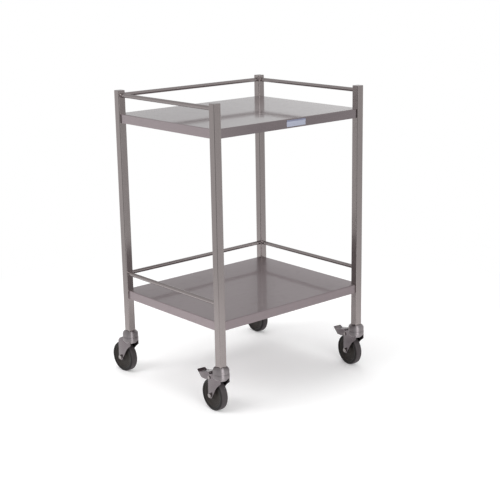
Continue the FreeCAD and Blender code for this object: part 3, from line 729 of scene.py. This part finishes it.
@dataclass
class Wheel:
    """Rubber tyre on a moulded centre that turns on the axle.

    Tread and ridge are half widths, from the wheel's middle plane.
    """

    corner: Corner
    trail: float = 32.5
    radius: float = 50.0
    width: float = 25.0
    shoulder: float = 5.0
    crown: float = 0.35
    ridge: float = 0.35
    ridge_height: float = 0.05
    tread: float = 3.0
    wear_reach: float = 2.6
    wear_fade: float = 2.4
    seat_gap: float = 0.3
    seat_bevel: float = 0.9
    seat_depth: float = 0.4
    rim: float = 39.0
    rim_inner: float = 34.0
    rim_width: float = 22.6
    disc: float = 13.0
    hub: float = 13.0
    hub_width: float = 28.0
    bore: float = 6.2
    step_inset: float = 6.5

    def place(self) -> Matrix:
        """Frame of the wheel: its axis along Z, pointing across the trolley."""
        axle = Matrix.Translation(Vector((0.0, self.trail * MM, self.radius * MM)))
        return self.corner.castor() @ axle @ Matrix.Rotation(math.radians(90), 4, "Y")

    def tyre(self, rubber: bpy.types.Material) -> bpy.types.Object:
        """Build the tyre with its round shoulders and the fine moulding ridge of its tread.

        Args:
            rubber: Its finish.

        Returns:
            The tyre.
        """
        half, top = self.width / 2, self.radius - self.shoulder
        round_off = self.shoulder - self.crown / 2
        flat = self.radius - self.ridge_height
        seat = [(self.rim + self.seat_gap, half - self.seat_depth), (self.rim + self.seat_bevel, half)]
        profile = [(radius, -height) for radius, height in seat]
        profile += arc((top, -half + self.shoulder), round_off, -90, -8, 7)
        profile += [(flat, -self.tread), (self.radius, -self.ridge)]
        profile += [(self.radius, self.ridge), (flat, self.tread)]
        profile += arc((top, half - self.shoulder), round_off, 8, 90, 7)
        profile += reversed(seat)
        work, place = bmesh.new(), self.place()
        turned(work, profile, place, 120)
        worn = work.verts.layers.float.new("worn")
        back = place.inverted()
        for vertex in work.verts:
            spot = back @ vertex.co
            reach = math.hypot(spot.x, spot.y) / MM - self.radius + self.wear_reach
            vertex[worn] = min(max(reach / self.wear_fade, 0.0), 1.0)
        made = as_object(f"rolling_band_{self.corner.name}", work, 40)
        made.data.materials.append(rubber)
        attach(made, f"wheel_{self.corner.name}")
        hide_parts(f"tyre_{self.corner.name}")
        return made

    def centre(self, plastic: bpy.types.Material) -> bpy.types.Object:
        """Build the wheel centre: rim, dished disc with a low step, and hub.

        Args:
            plastic: Its finish.

        Returns:
            The wheel centre.
        """
        half_rim, half_disc, half_hub = self.rim_width / 2, self.disc / 2, self.hub_width / 2
        step = self.rim_inner - self.step_inset
        side = [
            (self.bore, half_hub), (self.hub - 1.0, half_hub), (self.hub, half_hub - 1.0),
            (self.hub + 0.6, half_disc + 3.4), (self.hub + 1.8, half_disc + 1.5),
            (self.hub + 4.4, half_disc + 0.4), (step - 0.8, half_disc), (step, half_disc + 0.9),
            (self.rim_inner - 2.6, half_disc + 1.0), (self.rim_inner - 0.9, half_disc + 2.2),
            (self.rim_inner, half_rim - 0.8), (self.rim_inner + 0.8, half_rim),
            (self.rim - 0.4, half_rim), (self.rim, half_rim - 0.5),
        ]
        profile = side + [(radius, -height) for radius, height in reversed(side)]
        work = bmesh.new()
        turned(work, profile, self.place(), 96)
        made = as_object(f"wheel_disc_{self.corner.name}", work, 35)
        made.data.materials.append(plastic)
        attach(made, f"wheel_{self.corner.name}")
        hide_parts(f"wheel_centre_{self.corner.name}")
        return made


@dataclass
class Yoke:
    """The castor's fixed dome and the pressed yoke that turns under it.

    The outlines are (Y, Z) points in the castor's frame, and leg_edge is the legs' front edge.
    The race lists the radii of its groove, from the outer edge inwards.
    """

    corner: Corner
    gap: float = 15.5
    sheet: float = 2.5
    crown: float = 25.5
    crown_top: float = 125.0
    crown_foot: float = 17.0
    skirt: float = 21.0
    waist: float = 11.0
    pin_hole: float = 5.2
    dome: float = 25.0
    dome_wall: float = 2.4
    dome_ceiling: float = 3.6
    dome_gap: float = 0.6
    dome_edge: float = 0.4
    dome_shoulder: float = 11.0
    dome_taper: float = 8.4
    post_foot: float = 145.0
    post_gap: float = 0.05
    brim: float = 1.6
    race: tuple[float, float, float, float] = (20.2, 19.0, 15.0, 13.8)
    race_depth: float = 0.85
    axle: Point2 = (32.5, 50.0)
    foot: float = 10.0
    leg_edge: tuple[Point2, ...] = (
        (-18.0, 121.0), (-18.0, 99.0), (-16.6, 96.9), (-9.0, 91.2), (-3.2, 86.2), (1.6, 80.9),
        (6.0, 74.6), (23.6, 45.5),
    )
    leg_back: tuple[Point2, ...] = (
        (42.5, 104.5), (41.6, 107.6), (37.0, 114.4), (35.4, 115.9), (25.2, 120.6), (23.4, 121.0),
    )
    web: tuple[Point2, ...] = (
        (14.0, 121.0), (24.0, 121.0), (33.0, 116.85), (33.0, 114.4), (24.0, 118.5), (14.0, 118.5),
    )

    def build_dome(self, metal: bpy.types.Material) -> bpy.types.Object:
        """Build the dome under the post, with its rolled rim.

        Args:
            metal: Its finish.

        Returns:
            The dome.
        """
        foot, inner = self.crown_top + self.dome_gap, self.dome - self.dome_wall
        ceiling, head = self.crown_top + self.dome_ceiling, self.post_foot - self.post_gap
        profile = [(self.pin_hole, ceiling), (inner - 0.6, ceiling), (inner, ceiling - 0.6)]
        profile += [(inner, foot), (self.dome - self.dome_edge, foot), (self.dome, foot + self.dome_edge)]
        for step in range(10):
            lean = math.radians(90.0 * step / 9)
            reach = self.dome - self.dome_taper * (1.0 - math.cos(lean))
            profile.append((reach, head - self.dome_shoulder * (1.0 - math.sin(lean))))
        profile.append((self.pin_hole, head))
        work = bmesh.new()
        turned(work, profile, self.corner.castor(), 96)
        made = as_object(f"castor_dome_{self.corner.name}", work, 28)
        made.data.materials.append(metal)
        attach(made, ROOT_BODY)
        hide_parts(f"castor_head_{self.corner.name}")
        return made

    def cup_profile(self) -> list[Point2]:
        """Section of the crown: skirt, tapered foot, raceway and pin hole.

        Returns:
            Points of (radius, height).
        """
        wall, top = self.sheet, self.crown_top
        foot, waist, groove = top - self.skirt, top - self.waist, top - self.race_depth
        outer, outer_floor, inner_floor, inner = self.race
        outside = [(self.crown_foot, foot), (self.crown - 0.8, top - 12.6), (self.crown, waist)]
        outside += arc((self.crown - self.brim, top - self.brim), self.brim, 0, 90, 5)
        race = [(outer, top), (outer_floor, groove), (inner_floor, groove), (inner, top)]
        race += [(self.pin_hole, top)]
        inside = [(self.pin_hole, top - wall), (self.crown - wall - 1.0, top - wall)]
        inside += [(self.crown - wall, top - wall - 1.0), (self.crown - wall, top - 12.0)]
        inside += [(self.crown_foot - wall, foot)]
        return outside + race + inside

    def build_yoke(self, metal: bpy.types.Material, spun: bpy.types.Material) -> bpy.types.Object:
        """Build the yoke: crown, web and the two legs down to the axle.

        Args:
            metal: The finish of its legs and web: the plating with a darker base colour as painted shade.
            spun: The finish of its round crown: the same plating with a lighter base colour as painted
                light.

        Returns:
            The yoke.
        """
        place = self.corner.castor()
        work = bmesh.new()
        turned(work, self.cup_profile(), place, 96)
        for face in work.faces:
            face.material_index = 1
        outline = [*self.leg_edge, *arc(self.axle, self.foot, 207, 360, 10), *self.leg_back]
        for sign in (-1.0, 1.0):
            near, far = sign * self.gap, sign * (self.gap + self.sheet)
            plate(work, outline, near, far, place, 0.7)
        plate(work, self.web, -self.gap - 0.5, self.gap + 0.5, place, 0.3)
        made = as_object(f"castor_yoke_{self.corner.name}", work, 30)
        made.data.materials.append(metal)
        made.data.materials.append(spun)
        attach(made, f"fork_{self.corner.name}")
        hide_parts(f"castor_fork_{self.corner.name}")
        return made


@dataclass
class ToeLever:
    """Pressed lever of the toe brake, hinged on its pin between the yoke's legs.

    The outlines are (Y, Z) points in the castor's frame: the sloping plate's upper face, and the
    upper and lower edges of the skirts. The bands round off the toe's corners: each lies between
    two distances from the skirt's outside, and ends at a Y of its own.
    """

    corner: Corner
    half: float = 15.0
    sheet: float = 1.5
    pivot: Point2 = (36.0, 106.0)
    ear: float = 5.5
    bands: tuple[tuple[float, float, float], ...] = ((3.6, 1.4, 101.4), (1.4, 0.2, 99.6))
    plate_top: tuple[Point2, ...] = (
        (31.0, 121.4), (34.5, 122.0), (39.0, 122.0), (44.4, 120.9), (52.0, 118.8), (60.0, 116.4),
        (75.0, 112.4), (87.0, 109.3), (90.4, 109.0), (94.0, 110.1), (102.0, 113.5),
    )
    skirt_top: tuple[Point2, ...] = (
        (42.0, 120.6), (44.4, 120.9), (60.0, 116.4), (75.0, 112.4), (90.0, 109.0), (99.0, 112.2),
    )
    skirt_foot: tuple[Point2, ...] = (
        (98.6, 110.6), (90.0, 103.4), (81.2, 94.4), (79.4, 93.3), (60.6, 93.1), (57.4, 93.7),
    )
    skirt_neck: Point2 = (40.3, 118.2)

    def build(self, metal: bpy.types.Material) -> bpy.types.Object:
        """Build the lever: sloping plate with a turned-up toe, and a skirt down each side.

        Args:
            metal: Its finish.

        Returns:
            The lever.
        """
        place = self.corner.castor()
        work = bmesh.new()
        strip = [*self.plate_top, *[(y, z - self.sheet) for y, z in reversed(self.plate_top)]]
        inner = self.half - self.bands[0][0]
        plate(work, strip, -inner, inner, place, 0.25)
        for sign in (-1.0, 1.0):
            for near, far, reach in self.bands:
                cut = [(min(y, reach), z) for y, z in strip]
                plate(work, cut, sign * (self.half - near), sign * (self.half - far), place, 0.2)
        round_ear = arc(self.pivot, self.ear, 262, 150, 9)
        skirt = [*self.skirt_top, *self.skirt_foot, *round_ear, self.skirt_neck]
        for sign in (-1.0, 1.0):
            plate(work, skirt, sign * (self.half - self.sheet), sign * self.half, place, 0.4)
        made = as_object(f"toe_lever_{self.corner.name}", work, 30)
        made.data.materials.append(metal)
        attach(made, f"pedal_{self.corner.name}")
        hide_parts(f"brake_pedal_{self.corner.name}")
        return made


@dataclass
class WeldBeads:
    """Small weld rings where each rail end meets its post."""

    rail_radius: float = 6.35
    bead: float = 0.9
    bite: float = 0.2
    levels: tuple[float, float] = (912.0, 339.0)
    span_x: float = 275.0
    span_y: float = 220.0

    def spots(self) -> list[tuple[Vector, Vector]]:
        """Middle of each ring and the way the rail leaves it.

        Returns:
            Pairs of place and direction.
        """
        found: list[tuple[Vector, Vector]] = []
        for level in self.levels:
            for side in (-1.0, 1.0):
                back = Vector((side * self.span_x * MM, POST_Y * MM - POSTS_FORWARD, level * MM))
                found.append((back, Vector((-side, 0.0, 0.0))))
                for end in (-1.0, 1.0):
                    along = end * self.span_y * MM - POSTS_FORWARD
                    spot = Vector((side * POST_X * MM, along, level * MM))
                    found.append((spot, Vector((0.0, -end, 0.0))))
        return found

    def build(self, metal: bpy.types.Material) -> bpy.types.Object:
        """Build all the rings as one piece.

        Args:
            metal: Their finish.

        Returns:
            The beads.
        """
        inner = self.rail_radius - self.bite
        profile = [
            (inner, 0.0), (self.rail_radius + self.bead, 0.0),
            (self.rail_radius + self.bead * 0.85, self.bead * 0.5),
            (self.rail_radius + self.bead * 0.4, self.bead * 0.9), (inner, self.bead * 1.1),
        ]
        work = bmesh.new()
        for spot, direction in self.spots():
            turn = Vector((0.0, 0.0, 1.0)).rotation_difference(direction).to_matrix().to_4x4()
            turned(work, profile, Matrix.Translation(spot) @ turn, 40)
        made = as_object("rail_weld_rings", work, 60)
        made.data.materials.append(metal)
        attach(made, ROOT_BODY)
        return made


@dataclass
class FlangePlate:
    """The small bare plate stuck to the top shelf's front edge."""

    middle_x: float = 17.0
    middle_z: float = 841.0
    width: float = 76.0
    height: float = 20.0
    thickness: float = 0.5
    corner: float = 1.5
    front: float = -268.5

    def build(self, finish: bpy.types.Material) -> bpy.types.Object:
        """Build the plate with its round corners.

        Args:
            finish: Its finish.

        Returns:
            The plate.
        """
        half_w, half_h = self.width / 2, self.height / 2
        outline: list[Point2] = []
        for turn, (x, z) in enumerate(((1, 1), (-1, 1), (-1, -1), (1, -1))):
            centre = (x * (half_w - self.corner), z * (half_h - self.corner))
            outline += arc(centre, self.corner, turn * 90, turn * 90 + 90, 5)
        spot = Vector((self.middle_x * MM, self.front * MM, self.middle_z * MM))
        place = Matrix.Translation(spot) @ Matrix.Rotation(math.radians(-90), 4, "Z")
        work = bmesh.new()
        plate(work, outline, 0.0, self.thickness, place, 0.12)
        made = as_object("flange_plate", work, 40)
        made.data.materials.append(finish)
        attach(made, ROOT_BODY)
        return made


# The studio


@dataclass(frozen=True)
class SoftLamp:
    """One large soft lamp, which metal mirrors only where mirrored is set."""

    name: str
    place: tuple[float, float, float]
    aim: tuple[float, float, float]
    size: tuple[float, float]
    watts: float
    mirrored: bool = False

    def build(self) -> bpy.types.Object:
        """Hang the lamp.

        Returns:
            The lamp.
        """
        data = bpy.data.lights.new(self.name, "AREA")
        data.shape = "RECTANGLE"
        data.size, data.size_y = self.size
        data.energy = self.watts
        made = bpy.data.objects.new(self.name, data)
        made.location = self.place
        made.visible_glossy = self.mirrored
        towards = Vector(self.aim) - Vector(self.place)
        made.rotation_euler = towards.to_track_quat("-Z", "Y").to_euler()
        bpy.context.scene.collection.objects.link(made)
        return made


@dataclass
class Studio:
    """White studio: floor, soft lamps, the room that metal mirrors, and the camera.

    The room is four bands of light, one above the other, and an even ceiling. Each band lists
    brightness by direction: 0 and 1 look to -X, 0.25 to -Y, 0.5 to +X and 0.75 to +Y. Between
    two bands the light goes over from one to the next as a ray's rise passes a pair of
    layer_rise. Focal length and image width are in pixels, and sight is how far the camera sees.
    """

    eye: tuple[float, float, float] = (-2.2945, -2.7373, 1.3429)
    yaw: float = 0.710
    pitch: float = 0.258
    roll: float = -0.017
    focal: float = 1141.59
    image_width: float = 500.0
    sensor: float = 36.0
    sight: float = 60.0
    room: float = 0.62
    overhead: float = 0.8
    layer_rise: Stops = ((-0.29, -0.17), (-0.11, 0.06), (0.16, 0.29), (0.5, 1.0))
    lamps: tuple[SoftLamp, ...] = (
        SoftLamp("key_lamp", (-2.6, 0.4, 2.6), (0.0, 0.0, 0.4), (1.6, 1.6), 38.0),
        SoftLamp("fill_lamp", (-0.85, -3.0, 1.85), (0.0, 0.0, 0.4), (1.7, 1.2), 42.0, True),
        SoftLamp("top_lamp", (0.2, 0.6, 3.2), (0.0, 0.0, 0.4), (2.0, 2.0), 30.0),
    )
    floor_radius: float = 1.6
    deep: Stops = (
        (0.0, 0.35), (0.065, 0.35), (0.095, 0.66), (0.13, 0.70), (0.19, 1.0), (0.21, 1.1), (0.25, 1.1),
        (0.275, 1.0), (0.325, 0.98), (0.337, 0.70), (0.346, 0.72), (0.355, 1.12), (0.360, 1.12),
        (0.366, 1.0), (0.45, 1.0), (0.60, 1.0), (0.75, 0.95), (0.86, 0.90), (0.93, 0.90),
        (0.965, 0.35), (1.0, 0.35),
    )
    below: Stops = (
        (0.0, 0.35), (0.06, 0.35), (0.09, 0.52), (0.14, 0.55), (0.18, 0.80), (0.205, 1.0), (0.245, 1.0),
        (0.27, 0.85), (0.32, 0.75), (0.335, 0.50), (0.345, 0.60), (0.352, 1.10), (0.359, 1.20),
        (0.363, 0.60), (0.370, 0.55), (0.382, 0.90), (0.41, 1.0), (0.45, 1.0), (0.60, 0.90),
        (0.75, 0.90), (0.84, 1.12), (0.855, 0.90), (0.87, 0.95), (0.93, 0.95), (0.965, 0.35),
        (1.0, 0.35),
    )
    above: Stops = (
        (0.0, 0.45), (0.06, 0.45), (0.113, 0.65), (0.18, 0.80), (0.205, 1.15), (0.25, 1.15), (0.275, 0.95),
        (0.335, 0.95), (0.45, 0.90), (0.55, 0.90), (0.60, 0.93), (0.62, 0.82), (0.645, 0.62), (0.67, 0.63),
        (0.70, 0.66), (0.78, 0.80), (0.86, 1.0), (0.93, 0.90), (0.965, 0.45), (1.0, 0.45),
    )
    high: Stops = (
        (0.0, 0.50), (0.06, 0.50), (0.113, 0.62), (0.18, 0.70), (0.205, 0.95), (0.25, 0.95), (0.275, 0.80),
        (0.335, 0.80), (0.50, 0.72), (0.60, 0.74), (0.67, 0.62), (0.80, 0.75), (0.93, 0.70), (1.0, 0.50),
    )

    def build_floor(self) -> bpy.types.Object:
        """Lay the floor.

        Returns:
            The floor.
        """
        work = bmesh.new()
        bmesh.ops.create_circle(work, cap_ends=True, segments=96, radius=self.floor_radius)
        made = as_object("studio_floor", work)
        made.data.materials.append(FloorFinish().build())
        return made

    def build_room(self) -> None:
        """Fill the world: even light for the object, and a room for metal to mirror."""
        world = bpy.data.worlds.new("studio_room")
        bpy.context.scene.world = world
        world.use_nodes = True
        graph = Graph(world.node_tree)
        direction = graph.node("ShaderNodeTexCoord", None, None, "Generated")
        parts = [graph.node("ShaderNodeSeparateXYZ", None, {0: direction}, axis) for axis in "XYZ"]
        turn = parts[1].angle_with(parts[0]) / (2.0 * math.pi) + 0.5
        layers: list[Value] = [
            graph.node("ShaderNodeValToRGB", {"stops": band}, {0: turn})
            for band in (self.deep, self.below, self.above, self.high)
        ]
        layers.append(self.overhead)
        mirrored = layers[0]
        for layer, (start, end) in zip(layers[1:], self.layer_rise):
            rise = graph.node("ShaderNodeMapRange", None, {0: parts[2], 1: start, 2: end})
            mirrored = mirrored * (1.0 - rise) + layer * rise
        glossy = graph.node("ShaderNodeLightPath", None, None, "Is Glossy Ray")
        seen = graph.seen()
        strength = glossy * mirrored + (seen - glossy) + (1.0 - seen) * self.room
        inputs = {"Color": (*WHITE, 1.0), "Strength": strength}
        background = graph.node("ShaderNodeBackground", None, inputs)
        graph.node("ShaderNodeOutputWorld", None, {"Surface": background})

    def build_camera(self) -> bpy.types.Object:
        """Set the camera where the photograph was taken from.

        Returns:
            The camera.
        """
        level = math.cos(self.pitch)
        ahead = Vector((math.sin(self.yaw) * level, math.cos(self.yaw) * level, -math.sin(self.pitch)))
        right = Vector((math.cos(self.yaw), -math.sin(self.yaw), 0.0))
        up = right.cross(ahead)
        tilted = math.cos(self.roll) * right + math.sin(self.roll) * up
        raised = math.cos(self.roll) * up - math.sin(self.roll) * right
        data = bpy.data.cameras.new("studio_camera")
        data.sensor_width = self.sensor
        data.lens = self.focal / self.image_width * data.sensor_width
        data.clip_end = self.sight
        made = bpy.data.objects.new("studio_camera", data)
        turn = Matrix((tilted, raised, -ahead)).transposed().to_4x4()
        made.matrix_world = Matrix.Translation(Vector(self.eye)) @ turn
        bpy.context.scene.collection.objects.link(made)
        bpy.context.scene.camera = made
        return made

    def build(self) -> None:
        """Set up the whole studio."""
        self.build_floor()
        self.build_room()
        for lamp in self.lamps:
            lamp.build()
        self.build_camera()
        bpy.context.scene.view_settings.view_transform = "Standard"


@dataclass
class Trolley:
    """The whole trolley: which node wears what, and the pieces that replace nodes."""

    frame: Mapping[str, Any]
    tube: GroundSteel = GroundSteel("ground_tube", (0.285, 0.254, 0.25), 0.2, Grain.UPRIGHT)
    # Both shelf sheets get painted shade: a darker base colour on their front edges.
    top_sheet: GroundSteel = GroundSteel(
        "ground_top_sheet", (0.30, 0.248, 0.261), 0.34, Grain.ALONG_X, gloss_film=1.0,
        front_painted_shade=0.65, front_gloss=0.14,
    )
    low_sheet: GroundSteel = GroundSteel(
        "ground_low_sheet", (0.31, 0.258, 0.270), 0.4, Grain.ALONG_X, gloss_film=0.45,
        front_painted_shade=0.80,
    )
    long_rail: GroundSteel = GroundSteel("polished_rail_long", (0.295, 0.262, 0.26), 0.2, Grain.ALONG_X)
    side_rail: GroundSteel = GroundSteel("polished_rail_side", (0.295, 0.262, 0.26), 0.2, Grain.ALONG_Y)
    # Painted light and shade: one plating, with a darker base colour on the pressed pieces and a lighter
    # one on the turned dome and crown.
    pressed: PlatedSteel = PlatedSteel("pressed_plate", (0.195, 0.172, 0.180), 0.22)
    turned: PlatedSteel = PlatedSteel("turned_plate", (0.385, 0.352, 0.362), 0.5, stretch=1.0)
    fastener: PlatedSteel = PlatedSteel("fastener_plate", (0.34, 0.315, 0.31), 0.24)
    rubber: RolledRubber = RolledRubber("tyre_rubber", (0.008, 0.007, 0.0065), (0.062, 0.053, 0.056), 0.3)
    plastic: Moulded = Moulded("wheel_plastic", (0.032, 0.027, 0.0245), (0.052, 0.045, 0.040), 0.5)
    block: Moulded = Moulded("shoe_rubber", (0.02, 0.02, 0.02), (0.04, 0.04, 0.038), 0.6)
    blank: BarePlate = BarePlate("blank_plate", (0.20, 0.21, 0.30), (0.39, 0.41, 0.51), 0.8465)

    def dress_frame(self) -> None:
        """Dress the nodes that keep their solids."""
        names = [corner.name for corner in CORNERS]
        tube = self.tube.build()
        fastener = self.fastener.build()
        wear_finish([f"post_{name}" for name in names] + ["post_caps"], self.frame, tube)
        wear_finish(["top_shelf", "top_shelf_channel"], self.frame, self.top_sheet.build())
        wear_finish(["lower_shelf", "lower_shelf_channel"], self.frame, self.low_sheet.build())
        wear_finish(["top_rail_back", "lower_rail_back"], self.frame, self.long_rail.build())
        sides = [f"{tier}_rail_{side}" for tier in ("top", "lower") for side in ("left", "right")]
        wear_finish(sides, self.frame, self.side_rail.build())
        small = [f"{kind}_{name}" for name in names for kind in ("axle_bolt", "axle_nut", "axle_sleeve")]
        small += [f"castor_{kind}_{name}" for name in names for kind in ("stem", "bearing")]
        small += [f"brake_pin_{corner.name}" for corner in CORNERS if corner.braked]
        wear_finish(small, self.frame, fastener)
        block = self.block.build()
        wear_finish([f"brake_shoe_{corner.name}" for corner in CORNERS if corner.braked], self.frame, block)
        wear_finish(["castor_sockets"], self.frame, block)

    def build_castors(self) -> None:
        """Build the pieces of the four castors."""
        pressed, spun = self.pressed.build(), self.turned.build()
        rubber, plastic = self.rubber.build(), self.plastic.build()
        for corner in CORNERS:
            wheel, yoke = Wheel(corner), Yoke(corner)
            made = [wheel.tyre(rubber), wheel.centre(plastic)]
            made += [yoke.build_dome(spun), yoke.build_yoke(pressed, spun)]
            if corner.braked:
                made.append(ToeLever(corner).build(pressed))
            for piece in made:
                LOG.info("piece %s has %d faces", piece.name, len(piece.data.polygons))

    def build(self) -> None:
        """Dress the frame and build every piece."""
        self.dress_frame()
        self.build_castors()
        beads = WeldBeads().build(bpy.data.materials["ground_tube"])
        blank = FlangePlate().build(self.blank.build())
        LOG.info("pieces %s and %s", beads.name, blank.name)


def main() -> None:
    """Build the trolley and its studio."""
    logging.basicConfig(level=logging.INFO, format="%(name)s: %(message)s")
    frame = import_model()
    Trolley(frame).build()
    Studio().build()


if __name__ == "__main__":
    main()
